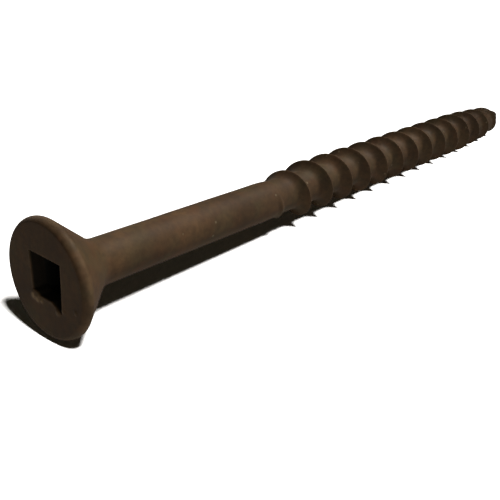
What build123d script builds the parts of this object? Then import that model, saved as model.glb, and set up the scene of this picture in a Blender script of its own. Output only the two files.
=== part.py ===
from build123d import *
from math import cos, pi, radians, sin, sqrt, tan
import os

# Square-drive deck screw, 3 in long, lying along +X.
# Origin: centre of the flat face of the head. +X runs from the head to the tip.
# All lengths in millimetres, all angles in degrees.

# ---- overall -----------------------------------------------------------
LENGTH = 76.2                  # head face to tip, nominal 3 in
HEAD_DIA = 8.6                 # over the rounded rim
SHANK_DIA = 3.45               # smooth unthreaded shank
CORE_DIA = 3.2                 # root of the thread
THREAD_DIA = 4.9               # over the thread crests
PITCH = 3.48                   # single start, right-hand

# ---- head --------------------------------------------------------------
FACE_DIA = 7.55                # flat face inside the rounded rim
RIM_FRONT = 0.55               # axial depth of the rounding in front of the widest circle
RIM_BACK_RADIUS = 0.45         # rounding behind the widest circle
SEAT_ANGLE = 39.5              # half angle of the countersunk underside
NECK_RADIUS = 1.9              # trumpet-shaped blend into the shank

# ---- square recess -----------------------------------------------------
RECESS_WIDTH = 3.05            # across flats at the face, No. 2 square
RECESS_DEPTH = 2.6             # flat-sided part
RECESS_TAPER = 2.0             # draft of each side
RECESS_CORNER = 0.12           # corner radius
RECESS_TURN = 3.2              # turn of the square about the axis
RECESS_PUNCH_DEPTH = 0.6       # conical mark in the bottom
RECESS_PUNCH_DIA = 2.2

# ---- thread ------------------------------------------------------------
SHANK_END = 22.2               # end of the plain shank
CORE_START = 22.8              # shank has tapered down to the core here
RUN_IN_LENGTH = 4.2            # the ridge grows to full height over this length
THREAD_START = 23.05           # first trace of the ridge
THREAD_START_ANGLE = 152.0     # where it starts, turning from +Y towards +Z
THREAD_END = 75.3              # last trace of the ridge, on the point
FLANK_ANGLE = 30.0             # each flank from the square-on plane
CREST_WIDTH = 0.14
CREST_TAPER_START = 62.0       # the ridge gets lower from here to the tip
RUN_IN_HEIGHT = 0.05           # ridge height at its first trace
RUN_OUT_HEIGHT = 0.2           # ridge height at its last trace
ROOT_GAP = 0.01                # keeps the ridge's root face clear of the core
POINTS_PER_TURN = 24

# ---- point -------------------------------------------------------------
POINT_START = 69.8
TIP_RADIUS = 0.15

# ---- derived -----------------------------------------------------------
HEAD_R = HEAD_DIA / 2
FACE_R = FACE_DIA / 2
SHANK_R = SHANK_DIA / 2
CORE_R = CORE_DIA / 2
THREAD_R = THREAD_DIA / 2
POINT_LENGTH = LENGTH - POINT_START
OGIVE_DROP = CORE_R - TIP_RADIUS
OGIVE_RADIUS = (POINT_LENGTH ** 2 + OGIVE_DROP ** 2) / (2 * OGIVE_DROP)


def seat_points():
    """Corner points of the underside: (rim end, cone end, neck end)."""
    slope = radians(SEAT_ANGLE)
    rim_x = RIM_FRONT + RIM_BACK_RADIUS * sin(slope)
    rim_r = HEAD_R - RIM_BACK_RADIUS * (1 - cos(slope))
    corner_x = rim_x + (rim_r - SHANK_R) / tan(slope)
    tangent = NECK_RADIUS * tan(slope / 2)
    cone_end = (corner_x - tangent * cos(slope), SHANK_R + tangent * sin(slope))
    neck_end = (corner_x + tangent, SHANK_R)
    return (rim_x, rim_r), cone_end, neck_end


HEAD_LENGTH = seat_points()[2][0]


def core_radius(x):
    """Radius of the body under the thread at a distance x from the head face."""
    if x <= SHANK_END:
        return SHANK_R
    if x <= CORE_START:
        return SHANK_R + (CORE_R - SHANK_R) * (x - SHANK_END) / (CORE_START - SHANK_END)
    if x <= POINT_START:
        return CORE_R
    step = min(x, LENGTH) - POINT_START
    return CORE_R - (OGIVE_RADIUS - sqrt(OGIVE_RADIUS ** 2 - step ** 2))


def ridge_height(x):
    """Height of the thread ridge above the core."""
    full = THREAD_R - CORE_R
    run_in = RUN_IN_HEIGHT + (full - RUN_IN_HEIGHT) * (x - THREAD_START) / RUN_IN_LENGTH
    fall = (x - CREST_TAPER_START) / (THREAD_END - CREST_TAPER_START)
    run_out = full + (RUN_OUT_HEIGHT - full) * fall
    return min(full, run_in, run_out)


def revolve_about_x(lines):
    """Solid of revolution about X from a closed outline in the XY plane."""
    face = make_face(lines)
    return revolve(face, Axis.X).solid()


def make_recess():
    """Square socket with a conical mark in its bottom."""
    square = RectangleRounded(RECESS_WIDTH, RECESS_WIDTH, RECESS_CORNER, rotation=RECESS_TURN)
    mouth = Plane.YZ * square
    socket = extrude(mouth, amount=RECESS_DEPTH, taper=RECESS_TAPER)
    outline = Polyline(
        (RECESS_DEPTH, 0),
        (RECESS_DEPTH, RECESS_PUNCH_DIA / 2),
        (RECESS_DEPTH + RECESS_PUNCH_DEPTH, 0),
        close=True,
    )
    return socket + revolve_about_x(outline)


def make_head():
    """Countersunk head: flat face, rounded rim, cone, neck blend, square socket."""
    rim_end, cone_end, neck_end = seat_points()
    face_line = Line((0, 0), (0, FACE_R))
    rim_centre = (RIM_FRONT, FACE_R)
    rim_front = EllipticalCenterArc(rim_centre, RIM_FRONT, HEAD_R - FACE_R, 90, arc_size=90)
    rim_back = TangentArc((RIM_FRONT, HEAD_R), rim_end, tangent=(1, 0))
    cone = Line(rim_end, cone_end)
    neck = TangentArc(cone_end, neck_end, tangent=cone % 1)
    closing = Polyline(neck_end, (HEAD_LENGTH, 0), (0, 0))
    outline = Curve() + [face_line, rim_front, rim_back, cone, neck, closing]
    return revolve_about_x(outline) - make_recess()


def make_shank():
    """Plain cylinder between the head and the thread."""
    outline = Polyline(
        (HEAD_LENGTH, 0), (HEAD_LENGTH, SHANK_R), (SHANK_END, SHANK_R), (SHANK_END, 0), close=True
    )
    return revolve_about_x(outline)


def make_core():
    """Short taper, then the cylinder that carries the thread."""
    outline = Polyline(
        (SHANK_END, 0),
        (SHANK_END, SHANK_R),
        (CORE_START, CORE_R),
        (POINT_START, CORE_R),
        (POINT_START, 0),
        close=True,
    )
    return revolve_about_x(outline)


def make_point():
    """Gimlet point with a rounded-off end."""
    side = TangentArc((POINT_START, CORE_R), (LENGTH, TIP_RADIUS), tangent=(1, 0))
    closing = Polyline((LENGTH, TIP_RADIUS), (LENGTH, 0), (POINT_START, 0), (POINT_START, CORE_R))
    return revolve_about_x(Curve() + [side, closing])


def ridge_edge(across, on_crest):
    """One long edge of the ridge; across runs from -1 (head side) to +1 (tip side)."""
    length = THREAD_END - THREAD_START
    count = round(length / PITCH * POINTS_PER_TURN)
    points = []
    for i in range(count + 1):
        x = THREAD_START + length * i / count
        angle = radians(THREAD_START_ANGLE) + 2 * pi * (x - THREAD_START) / PITCH
        height = ridge_height(x)
        if on_crest:
            edge_x = x + across * CREST_WIDTH / 2
            radius = core_radius(x) + height
        else:
            edge_x = x + across * (CREST_WIDTH / 2 + height * tan(radians(FLANK_ANGLE)))
            radius = core_radius(edge_x) + ROOT_GAP
        points.append(Vector(edge_x, radius * cos(angle), radius * sin(angle)))
    return Edge.make_spline(points, parameters=[i / count for i in range(count + 1)])


def make_thread():
    """Helical ridge whose root face follows the core and the point."""
    root_head, root_tip = ridge_edge(-1, False), ridge_edge(1, False)
    crest_tip, crest_head = ridge_edge(1, True), ridge_edge(-1, True)
    edges = [root_head, root_tip, crest_tip, crest_head]
    faces = []
    for first, second in zip(edges, edges[1:] + edges[:1]):
        faces.append(Face.make_surface_from_curves(first, second))
    for end in (0, 1):
        corners = [edge @ end for edge in edges]
        faces.append(Face(Wire(Polyline(*corners, close=True))))
    return Solid(Shell(faces))


def main():
    os.makedirs("parts", exist_ok=True)
    head = make_head()
    shank = make_shank()
    core = make_core()
    point = make_point()
    thread = make_thread()
    export_step(head, "parts/head.step")
    export_step(shank, "parts/shank.step")
    export_step(core, "parts/threaded_core.step")
    export_step(thread, "parts/thread.step")
    export_step(point, "parts/point.step")


main()
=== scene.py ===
from math import cos, pi, radians, sin, sqrt, tan

import bmesh
import bpy
from mathutils import Matrix, Vector


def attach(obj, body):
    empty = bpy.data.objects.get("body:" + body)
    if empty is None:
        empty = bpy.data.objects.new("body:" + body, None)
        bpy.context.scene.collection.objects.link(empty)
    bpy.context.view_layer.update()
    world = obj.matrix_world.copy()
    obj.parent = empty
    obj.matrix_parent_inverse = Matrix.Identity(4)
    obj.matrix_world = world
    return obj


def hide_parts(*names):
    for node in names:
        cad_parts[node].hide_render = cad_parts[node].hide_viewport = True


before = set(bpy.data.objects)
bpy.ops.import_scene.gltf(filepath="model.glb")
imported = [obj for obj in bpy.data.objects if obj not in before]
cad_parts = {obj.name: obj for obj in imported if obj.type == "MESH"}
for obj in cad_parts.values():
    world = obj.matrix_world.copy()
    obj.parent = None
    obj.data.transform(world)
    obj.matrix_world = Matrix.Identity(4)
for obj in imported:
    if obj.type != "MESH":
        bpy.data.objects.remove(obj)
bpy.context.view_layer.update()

# The row frame: +X along the screw from the head face to the tip, +Z up. Lengths below are
# in millimetres and are turned into metres when a mesh is made.
MM = 0.001

LENGTH = 76.2
HEAD_R = 4.3
SHANK_R = 1.725
CORE_R = 1.6
THREAD_R = 2.45
PITCH = 3.48
FACE_R = 3.775
RIM_FRONT = 0.55
RIM_BACK_RADIUS = 0.45
SEAT_ANGLE = radians(39.5)
NECK_RADIUS = 1.9
SHANK_END = 22.2
CORE_START = 22.8
THREAD_START = 23.05
THREAD_START_ANGLE = radians(152)
THREAD_END = 75.3
RUN_IN_LENGTH = 4.2
CREST_TAPER_START = 62.0
RUN_IN_HEIGHT = 0.05
RUN_OUT_HEIGHT = 0.2
POINT_START = 69.8
TIP_RADIUS = 0.15
POINT_LENGTH = LENGTH - POINT_START
OGIVE_DROP = CORE_R - TIP_RADIUS
OGIVE_RADIUS = (POINT_LENGTH ** 2 + OGIVE_DROP ** 2) / (2 * OGIVE_DROP)

FACE_SETBACK = 0.05            # the face lies this far behind the tops of the coating's lumps
FACE_DISH = 0.02               # and this much deeper still at its middle
SOCKET_DEPTH = 2.6
SOCKET_NARROWING = 0.027       # share of its width that the socket loses per millimetre of depth

HALF_CREST = 0.07              # half the width of the ridge's flat top
FLANK_REACH = 0.50             # each flank reaches this far along X
FLANK_SPREAD = 0.55            # and this much further per millimetre of height
FLANK_POWER = 2.1              # 1 would be a straight flank, and more hollows it out
CORE_BLEND = 2.0               # the body reaches the core's size this far past CORE_START

HEAD_SEGMENTS = 360
SEGMENTS = 200


# ---- meshes --------------------------------------------------------------

def smooth(a, b, x):
    """0 below a, 1 above b, and smooth between them."""
    t = min(1.0, max(0.0, (x - a) / (b - a)))
    return t * t * (3 - 2 * t)


def add_object(name, verts, faces, wear_and_shade, sharp_angle=40):
    """A mesh object from points in millimetres, with a per-vertex value for wear and for painted
    shade.
    """
    mesh = bpy.data.meshes.new(name)
    mesh.from_pydata([Vector(v) * MM for v in verts], [], faces)
    mesh.validate()
    values = mesh.attributes.new("wear_and_shade", "FLOAT", "POINT")
    values.data.foreach_set("value", wear_and_shade)
    obj = bpy.data.objects.new(name, mesh)
    bpy.context.scene.collection.objects.link(obj)
    shade(obj, sharp_angle)
    return obj


def shade(obj, sharp_angle):
    """Smooth shading, outward normals, and sharp edges above an angle."""
    bm = bmesh.new()
    bm.from_mesh(obj.data)
    bmesh.ops.recalc_face_normals(bm, faces=bm.faces)
    for face in bm.faces:
        face.smooth = True
    for edge in bm.edges:
        if len(edge.link_faces) == 2 and edge.calc_face_angle() > radians(sharp_angle):
            edge.smooth = False
    bm.to_mesh(obj.data)
    bm.free()


def ring_solid(rings, poles):
    """Points and faces of a closed solid from rings of equal length and its two end points."""
    count = len(rings[0])
    verts = [p for ring in rings for p in ring]
    faces = []
    for i in range(len(rings) - 1):
        for j in range(count):
            k = (j + 1) % count
            faces.append((i * count + j, i * count + k, (i + 1) * count + k, (i + 1) * count + j))
    for pole, row in zip(poles, (0, len(rings) - 1)):
        index = len(verts)
        verts.append(pole)
        for j in range(count):
            faces.append((row * count + j, row * count + (j + 1) % count, index))
    return verts, faces


def head_profile():
    """Outline of the head behind its flat face, as (x, radius)."""
    points = []
    for i in range(1, 13):
        a = pi / 2 * i / 12
        points.append((RIM_FRONT * (1 - cos(a)), FACE_R + (HEAD_R - FACE_R) * sin(a)))
    for i in range(1, 7):
        a = SEAT_ANGLE * i / 6
        points.append((RIM_FRONT + RIM_BACK_RADIUS * sin(a), HEAD_R - RIM_BACK_RADIUS * (1 - cos(a))))
    rim_x, rim_r = points[-1]
    corner_x = rim_x + (rim_r - SHANK_R) / tan(SEAT_ANGLE)
    reach = NECK_RADIUS * tan(SEAT_ANGLE / 2)
    cone = (corner_x - reach * cos(SEAT_ANGLE), SHANK_R + reach * sin(SEAT_ANGLE))
    for i in range(1, 9):
        points.append((rim_x + (cone[0] - rim_x) * i / 8, rim_r + (cone[1] - rim_r) * i / 8))
    end_x = corner_x + reach
    for i in range(1, 11):
        a = SEAT_ANGLE * (1 - i / 10)
        points.append((end_x - NECK_RADIUS * sin(a), SHANK_R + NECK_RADIUS * (1 - cos(a))))
    return points


HEAD_PROFILE = head_profile()
HEAD_END = HEAD_PROFILE[-1][0]

# Corners of the socket's mouth as (y, z), anticlockwise, with the worn notch beside one corner
# and the lump of coating that fills another. MOUTH_SOUND is the nearly square socket behind it.
MOUTH = [
    (1.46, 1.81), (-1.87, 1.63), (-1.66, -1.35), (-1.60, -1.92), (-0.58, -1.34),
    (0.72, -1.28), (0.98, -1.10), (1.40, -0.98),
]
MOUTH_SOUND = [(1.44, 1.62), (-1.62, 1.46), (-1.48, -1.44), (1.44, -1.40)]

# The rounded lip of the mouth, from inside out: depth, how far it is outside the mouth, and wear; the
# innermost ring's negative value is painted shade at the socket's edge.
LIP = [(0.13, 0.0, -0.5), (0.08, 0.012, 0.0), (0.055, 0.035, 0.08), (0.05, 0.07, 0.08)]


def mouth_radius(corners, angle):
    """Distance from the axis to the edge of the mouth in a given direction."""
    direction = Vector((cos(angle), sin(angle)))
    best = None
    for i, start in enumerate(corners):
        a, b = Vector(start), Vector(corners[(i + 1) % len(corners)])
        side = b - a
        across = direction.x * side.y - direction.y * side.x
        if abs(across) < 1e-9:
            continue
        reach = (a.x * side.y - a.y * side.x) / across
        along = (a.x * direction.y - a.y * direction.x) / across
        if reach > 0 and -1e-6 <= along <= 1 + 1e-6:
            best = reach if best is None else min(best, reach)
    return best


def lump(y, z, at, size, height):
    """Height of a small mound of coating at (y, z)."""
    d = ((y - at[0]) ** 2 + (z - at[1]) ** 2) / size ** 2
    return height * 2.718 ** -d


LUMPS = [
    ((1.42, -1.42), 0.22, 0.20), ((0.98, -1.56), 0.20, 0.16), ((0.52, -1.62), 0.14, 0.08),
    ((-1.20, -1.92), 0.16, 0.14), ((-3.19, -1.27), 0.12, 0.12), ((-1.86, -1.62), 0.16, 0.05),
]


def make_head():
    """Head with the socket, its worn notch and the lumps of coating around it."""
    count = HEAD_SEGMENTS
    angles = [2 * pi * j / count for j in range(count)]
    worn = [mouth_radius(MOUTH, a) for a in angles]
    sound = [mouth_radius(MOUTH_SOUND, a) for a in angles]
    rings, wear_and_shade = [], []

    def add(xs, radii, wear_and_shade_value):
        rings.append([(x, r * cos(a), r * sin(a)) for x, r, a in zip(xs, radii, angles)])
        wear_and_shade.extend([wear_and_shade_value] * count)

    # The socket's walls and floor get values below 0, which paint them nearly black: painted shade in
    # the recess.
    for share in (0.35, 0.7, 1.0):
        add([SOCKET_DEPTH + 0.5 * (1 - share)] * count, [s * 0.93 * share for s in sound], -1.0)
    for level in (2.3, 1.9, 1.5, 1.2):
        add([level] * count, [s * (1 - SOCKET_NARROWING * level) for s in sound], -1.0)
    for level, share in ((1.1, 0.85), (0.9, 0.95), (0.5, 1.0), (0.25, 1.0)):
        kept = (1 - SOCKET_NARROWING * level) * (1 - share)
        add([level] * count, [s * kept + w * share for s, w in zip(sound, worn)], -0.9)
    for level, grow, lip_wear_and_shade in LIP:
        add([level] * count, [w + grow for w in worn], lip_wear_and_shade)
    steps = 26
    for i in range(1, steps + 1):
        t = i / steps
        radii = [(w + 0.07) * (1 - t) + FACE_R * t for w in worn]
        add([FACE_SETBACK] * count, radii, 0.1 if i == 1 else 0.0)
    for x, r in HEAD_PROFILE:
        edge = smooth(0.0, RIM_FRONT, x) * (1 - smooth(RIM_FRONT, 0.9, x))
        add([max(x, FACE_SETBACK)] * count, [r] * count, 0.15 * edge)
    verts, faces = ring_solid(rings, ((SOCKET_DEPTH + 0.55, 0, 0), (HEAD_END, 0, 0)))
    # The end point at the socket's floor gets the same painted shade.
    wear_and_shade.extend([-1.0, 0.0])
    raised = []
    for i, (x, y, z) in enumerate(verts):
        r = sqrt(y * y + z * z)
        if x < 0.2 and r < FACE_R:
            rise = sum(lump(y, z, at, size, height) for at, size, height in LUMPS)
            dish = FACE_DISH * (1 - (r / FACE_R) ** 2)
            x = max(0.0, x - min(rise, 0.25) + dish)
            wear_and_shade[i] = min(1.0, wear_and_shade[i] + 7.0 * rise)
        raised.append((x, y, z))
    return add_object("head_look", raised, faces, wear_and_shade)


def make_shank():
    """Plain shank, very slightly uneven as a drawn and coated wire is."""
    rings, wear_and_shade = [], []
    rows = 90
    for i in range(rows + 1):
        x = HEAD_END + (SHANK_END - HEAD_END) * i / rows
        fade = smooth(0, 2, x - HEAD_END) * smooth(0, 2, SHANK_END - x)
        ring = []
        for j in range(SEGMENTS):
            a = 2 * pi * j / SEGMENTS
            r = SHANK_R - 0.006 * fade * (1 + sin(0.9 * x + 2 * a) * sin(0.37 * x + 1.1))
            ring.append((x, r * cos(a), r * sin(a)))
        rings.append(ring)
        wear_and_shade.extend([0.0] * SEGMENTS)
    verts, faces = ring_solid(rings, ((HEAD_END, 0, 0), (SHANK_END, 0, 0)))
    wear_and_shade.extend([0.0, 0.0])
    return add_object("shank_look", verts, faces, wear_and_shade)


def core_radius(x):
    """Radius of the body under the thread."""
    if x <= POINT_START:
        return SHANK_R + (CORE_R - SHANK_R) * smooth(SHANK_END, CORE_START + CORE_BLEND, x)
    step = min(x, LENGTH) - POINT_START
    return CORE_R - (OGIVE_RADIUS - sqrt(OGIVE_RADIUS ** 2 - step ** 2))


def ridge_height(x):
    """Height of the ridge above the body where its crest stands at x."""
    full = THREAD_R - CORE_R
    run_in = RUN_IN_HEIGHT + (full - RUN_IN_HEIGHT) * (x - THREAD_START) / RUN_IN_LENGTH
    fall = (x - CREST_TAPER_START) / (THREAD_END - CREST_TAPER_START)
    run_out = full + (RUN_OUT_HEIGHT - full) * fall
    height = min(full, run_in, run_out)
    return max(0.0, height) * (1 - smooth(THREAD_END - 0.4, THREAD_END, x))


# Rows across one pitch, as distances from the crest: close together near the crest.
ROWS = [0, 0.05, 0.1, 0.16, 0.24, 0.34, 0.46, 0.6, 0.76, 0.94, 1.16, 1.42]
ROWS = [-d for d in reversed(ROWS[1:])] + ROWS + [PITCH / 2]


def ridge_profile(distance, height):
    """Height of the ridge at a distance along X from its crest, with a soft root."""
    width = FLANK_REACH + FLANK_SPREAD * height
    t = max(0.0, abs(distance) - HALF_CREST) / width
    return height * (1 - min(1.0, t)) ** FLANK_POWER


def make_threaded(name, start, end):
    """The body with its thread between two planes, closed at both ends."""
    turns = range(-2, int((LENGTH - THREAD_START) / PITCH) + 3)
    rows = [(turn, d) for turn in turns for d in ROWS]
    per_turn = len(ROWS)
    verts, faces = [], []
    for turn, d in rows:
        for j in range(SEGMENTS):
            a = THREAD_START_ANGLE + 2 * pi * j / SEGMENTS
            crest = THREAD_START + PITCH * (turn + j / SEGMENTS)
            x = crest + d
            rise = ridge_profile(d, ridge_height(crest))
            r = max(0.02, core_radius(x) + rise)
            verts.append((x, r * cos(a), r * sin(a)))
    for i in range(len(rows) - 1):
        for j in range(SEGMENTS):
            ahead = i + (0 if j < SEGMENTS - 1 else per_turn)
            k = (j + 1) % SEGMENTS
            if ahead + 1 < len(rows):
                faces.append((
                    i * SEGMENTS + j, ahead * SEGMENTS + k,
                    (ahead + 1) * SEGMENTS + k, (i + 1) * SEGMENTS + j,
                ))
    obj = add_object(name, verts, faces, [0.0] * len(verts))
    bm = bmesh.new()
    bm.from_mesh(obj.data)
    for plane, side in ((start, -1), (end, 1)):
        geometry = bm.verts[:] + bm.edges[:] + bm.faces[:]
        cut = bmesh.ops.bisect_plane(
            bm, geom=geometry, dist=1e-7, plane_co=(plane * MM, 0, 0), plane_no=(side, 0, 0),
            clear_outer=True,
        )
        rim = [e for e in cut["geom_cut"] if isinstance(e, bmesh.types.BMEdge)]
        centre = bm.verts.new((plane * MM, 0, 0))
        for edge in rim:
            cap = bm.faces.new((edge.verts[0], edge.verts[1], centre))
            cap.smooth = False
    bmesh.ops.recalc_face_normals(bm, faces=bm.faces)
    bm.to_mesh(obj.data)
    bm.free()
    shade(obj, 50)
    return obj


# ---- coating -------------------------------------------------------------

# Linear colours. The browns are stops of a ramp, as (position, colour).
BROWNS = [(0.30, (0.048, 0.028, 0.014)), (0.52, (0.064, 0.037, 0.018)), (0.72, (0.086, 0.049, 0.023))]
GREENISH = (0.058, 0.043, 0.021)
RUSTY = (0.082, 0.036, 0.016)
PALE = (0.20, 0.17, 0.11)
WORN = (0.26, 0.18, 0.10)
# Near black, painted into the socket as shade.
SOCKET_PAINTED_SHADE = (0.003, 0.0025, 0.0015)


def coating():
    """Satin brown polymer coating: uneven tone, pale specks, paler where it is worn, nearly black
    inside the socket as painted shade, orange peel.

    The per-vertex value is above 0 on worn edges and lumps, and below 0 in the socket, where it
    paints shade.
    """
    material = bpy.data.materials.new("coated_steel_look")
    material.use_nodes = True
    tree = material.node_tree
    nodes, links = tree.nodes, tree.links
    shader = nodes["Principled BSDF"]
    place = nodes.new("ShaderNodeTexCoord")

    def noise(scale, detail, roughness=0.5):
        node = nodes.new("ShaderNodeTexNoise")
        node.inputs["Scale"].default_value = scale
        node.inputs["Detail"].default_value = detail
        node.inputs["Roughness"].default_value = roughness
        links.new(place.outputs["Object"], node.inputs["Vector"])
        return node.outputs["Fac"]

    def ramp(value, stops):
        node = nodes.new("ShaderNodeValToRGB")
        elements = node.color_ramp.elements
        while len(elements) < len(stops):
            elements.new(0.5)
        for element, (position, colour) in zip(elements, stops):
            element.position = position
            element.color = (*colour, 1)
        links.new(value, node.inputs["Fac"])
        return node.outputs["Color"]

    def mix(factor, a, b, kind="MIX"):
        node = nodes.new("ShaderNodeMix")
        node.data_type = "RGBA"
        node.blend_type = kind
        if isinstance(factor, float):
            node.inputs["Factor"].default_value = factor
        else:
            links.new(factor, node.inputs["Factor"])
        for socket, value in (("A", a), ("B", b)):
            target = [s for s in node.inputs if s.name == socket and s.type == "RGBA"][0]
            if isinstance(value, tuple):
                target.default_value = (*value, 1)
            else:
                links.new(value, target)
        return [s for s in node.outputs if s.type == "RGBA"][0]

    broad = noise(260, 3)
    fine = noise(1900, 4, 0.6)
    tone = ramp(broad, BROWNS)
    grain = ramp(fine, [(0.35, (0.70, 0.70, 0.70)), (0.65, (1.0, 1.0, 1.0))])
    patches = ramp(noise(420, 2), [(0.46, (0, 0, 0)), (0.66, (0.6, 0.6, 0.6))])
    tone = mix(patches, tone, GREENISH)
    rust = ramp(noise(610, 3), [(0.52, (0, 0, 0)), (0.70, (0.4, 0.4, 0.4))])
    tone = mix(rust, tone, RUSTY)
    base = mix(1.0, tone, grain, "MULTIPLY")

    cells = nodes.new("ShaderNodeTexVoronoi")
    cells.inputs["Scale"].default_value = 600
    links.new(place.outputs["Object"], cells.inputs["Vector"])
    specks = ramp(cells.outputs["Distance"], [(0.03, (0.45, 0.45, 0.45)), (0.09, (0, 0, 0))])
    base = mix(specks, base, PALE)

    # This value is wear above 0 and painted shade in the socket below 0.
    worn = nodes.new("ShaderNodeAttribute")
    worn.attribute_name = "wear_and_shade"
    patchy = nodes.new("ShaderNodeMath")
    patchy.operation = "MULTIPLY"
    links.new(worn.outputs["Fac"], patchy.inputs[0])
    links.new(ramp(noise(1300, 2), [(0.38, (0.15, 0.15, 0.15)), (0.62, (1, 1, 1))]), patchy.inputs[1])
    base = mix(patchy.outputs[0], base, WORN)
    # Below 0 the value mixes in near black: painted shade in the socket.
    socket_shade = nodes.new("ShaderNodeMath")
    socket_shade.operation = "MULTIPLY"
    socket_shade.use_clamp = True
    socket_shade.inputs[1].default_value = -1.0
    links.new(worn.outputs["Fac"], socket_shade.inputs[0])
    base = mix(socket_shade.outputs[0], base, SOCKET_PAINTED_SHADE)
    links.new(base, shader.inputs["Base Color"])

    gloss = nodes.new("ShaderNodeMapRange")
    gloss.inputs["To Min"].default_value = 0.54
    gloss.inputs["To Max"].default_value = 0.76
    links.new(fine, gloss.inputs["Value"])
    links.new(gloss.outputs["Result"], shader.inputs["Roughness"])
    shader.inputs["Metallic"].default_value = 0.0
    shader.inputs["Specular IOR Level"].default_value = 0.14

    peel = nodes.new("ShaderNodeBump")
    peel.inputs["Strength"].default_value = 0.35
    peel.inputs["Distance"].default_value = 0.00003
    links.new(noise(1500, 3), peel.inputs["Height"])
    links.new(peel.outputs["Normal"], shader.inputs["Normal"])
    return material


# ---- the object ----------------------------------------------------------

coat = coating()
pieces = [
    (make_head(), ("head",)),
    (make_shank(), ("shank",)),
    (make_threaded("thread_look", SHANK_END, POINT_START), ("threaded_core", "thread")),
    (make_threaded("point_look", POINT_START, LENGTH), ("point",)),
]
for piece, nodes in pieces:
    piece.data.materials.clear()
    piece.data.materials.append(coat)
    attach(piece, "root")
    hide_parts(*nodes)


# ---- studio --------------------------------------------------------------

# The head is wider than the thread, so the floor slopes a little in the row frame. Its place was
# chosen for where the shank's shadow falls, and the screw touches it nowhere: the rim of the head
# is 0.31 mm clear of it and the nearest turn of the thread 0.12 mm.
SLOPE = radians(1.90)
FLOOR_AT = (0.00042, 0, -0.00461)
FLOOR_HALF = 0.6

SPOT_ANGLE = radians(11.5)

# The camera, at the photograph's viewing angle.
CAMERA_AT = (-0.022475, -0.036003, 0.0190)
CAMERA_TURN = (radians(67.689), radians(-0.973), radians(-50.022))
SENSOR_WIDTH = 36
LENS = 49.124


def floor_material():
    """White when it is seen directly, and a mid grey for the light that it throws back.

    A floor that throws back as much light as it shows leaves the screw far too bright.
    """
    material = bpy.data.materials.new("floor_white")
    material.use_nodes = True
    nodes, links = material.node_tree.nodes, material.node_tree.links
    shader = nodes["Principled BSDF"]
    shader.inputs["Roughness"].default_value = 0.9
    shader.inputs["Specular IOR Level"].default_value = 0.0
    ray = nodes.new("ShaderNodeLightPath")
    pick = nodes.new("ShaderNodeMix")
    pick.data_type = "RGBA"
    thrown_back, seen = [s for s in pick.inputs if s.type == "RGBA"]
    thrown_back.default_value = (0.20, 0.19, 0.18, 1)
    seen.default_value = (0.88, 0.88, 0.88, 1)
    links.new(ray.outputs["Is Camera Ray"], pick.inputs["Factor"])
    colour = [s for s in pick.outputs if s.type == "RGBA"][0]
    links.new(colour, shader.inputs["Base Color"])
    return material


def make_floor():
    """A plain square floor under the screw."""
    mesh = bpy.data.meshes.new("floor")
    far = FLOOR_HALF
    corners = [(-far, -far, 0), (far, -far, 0), (far, far, 0), (-far, far, 0)]
    mesh.from_pydata(corners, [], [(0, 1, 2, 3)])
    mesh.materials.append(floor_material())
    obj = bpy.data.objects.new("floor", mesh)
    bpy.context.scene.collection.objects.link(obj)
    obj.matrix_world = Matrix.Translation(FLOOR_AT) @ Matrix.Rotation(-SLOPE, 4, "Y")
    return obj


def area_light(name, toward, distance, size, power, colour=(1, 1, 1)):
    """A square soft light in the direction toward, aimed at the middle of the screw."""
    light = bpy.data.lights.new(name, "AREA")
    light.size = size
    light.energy = power
    light.color = colour
    obj = bpy.data.objects.new(name, light)
    bpy.context.scene.collection.objects.link(obj)
    direction = Vector(toward).normalized()
    centre = Vector((0.03, 0, 0))
    obj.location = centre + direction * distance
    obj.rotation_euler = direction.to_track_quat("Z", "Y").to_euler()
    return obj


def spot_lamp(toward, centre, distance, power, colour):
    """A soft-edged spot in the direction toward, aimed at a point on the screw."""
    data = bpy.data.lights.new("lamp", "SPOT")
    data.energy = power
    data.color = colour
    data.spot_size = SPOT_ANGLE
    data.spot_blend = 1.0
    data.shadow_soft_size = 0.04
    obj = bpy.data.objects.new("lamp", data)
    bpy.context.scene.collection.objects.link(obj)
    direction = Vector(toward).normalized()
    obj.location = Vector(centre) + direction * distance
    obj.rotation_euler = direction.to_track_quat("Z", "Y").to_euler()
    return obj


def light_only(lights, name, objects):
    """Make the lights reach only the given objects."""
    group = bpy.data.collections.new(name)
    for obj in objects:
        group.objects.link(obj)
    for light in lights:
        light.light_linking.receiver_collection = group


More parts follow.
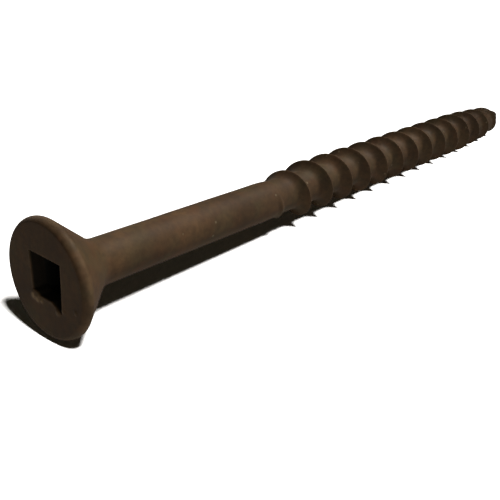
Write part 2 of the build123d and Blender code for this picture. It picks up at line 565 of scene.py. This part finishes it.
def make_world():
    """A white backdrop that lights the scene only faintly."""
    world = bpy.data.worlds.new("studio")
    world.use_nodes = True
    nodes, links = world.node_tree.nodes, world.node_tree.links
    faint = nodes["Background"]
    faint.inputs["Color"].default_value = (1.0, 0.94, 0.62, 1)
    faint.inputs["Strength"].default_value = 0.012
    backdrop = nodes.new("ShaderNodeBackground")
    backdrop.inputs["Color"].default_value = (1, 1, 1, 1)
    ray = nodes.new("ShaderNodeLightPath")
    either = nodes.new("ShaderNodeMixShader")
    links.new(ray.outputs["Is Camera Ray"], either.inputs["Fac"])
    links.new(faint.outputs[0], either.inputs[1])
    links.new(backdrop.outputs[0], either.inputs[2])
    links.new(either.outputs[0], nodes["World Output"].inputs["Surface"])
    bpy.context.scene.world = world


def make_camera():
    """The scene's camera, with no shift and no depth of field."""
    data = bpy.data.cameras.new("camera")
    data.sensor_width = SENSOR_WIDTH
    data.lens = LENS
    data.clip_start = 0.001
    obj = bpy.data.objects.new("camera", data)
    bpy.context.scene.collection.objects.link(obj)
    obj.location = CAMERA_AT
    obj.rotation_euler = CAMERA_TURN
    bpy.context.scene.camera = obj
    return obj


# These lights are not one real studio. The key lights only the floor, where it throws the screw's
# shadow. The screw has its own narrow lamp, from above its tip end and aimed at the start of the
# thread, and three weak fills.
floor = make_floor()
key = area_light("key", (-0.21, -0.72, 1.0), 1.2, 0.16, 42.0, (1.0, 0.98, 0.95))
lamp = spot_lamp((0.42, -0.28, 0.85), (0.0240, 0, 0), 0.25, 17.5, (1.0, 0.93, 0.86))
low = area_light("low", (0.90, -0.60, 0.10), 0.6, 0.30, 0.55, (1.0, 0.95, 0.88))
back = area_light("back", (0.20, 0.85, 0.40), 0.6, 0.40, 0.8, (1.0, 0.97, 0.93))
fill = area_light("fill", (-0.40, -0.75, 0.05), 0.6, 0.40, 1.35, (1.0, 0.98, 0.88))
light_only([key], "ground", [floor])
light_only([lamp, low, back, fill], "screw", [piece for piece, nodes in pieces])
make_world()
camera = make_camera()

view = bpy.context.scene.view_settings
view.view_transform = "Standard"
view.look = "None"
view.exposure = 0.0
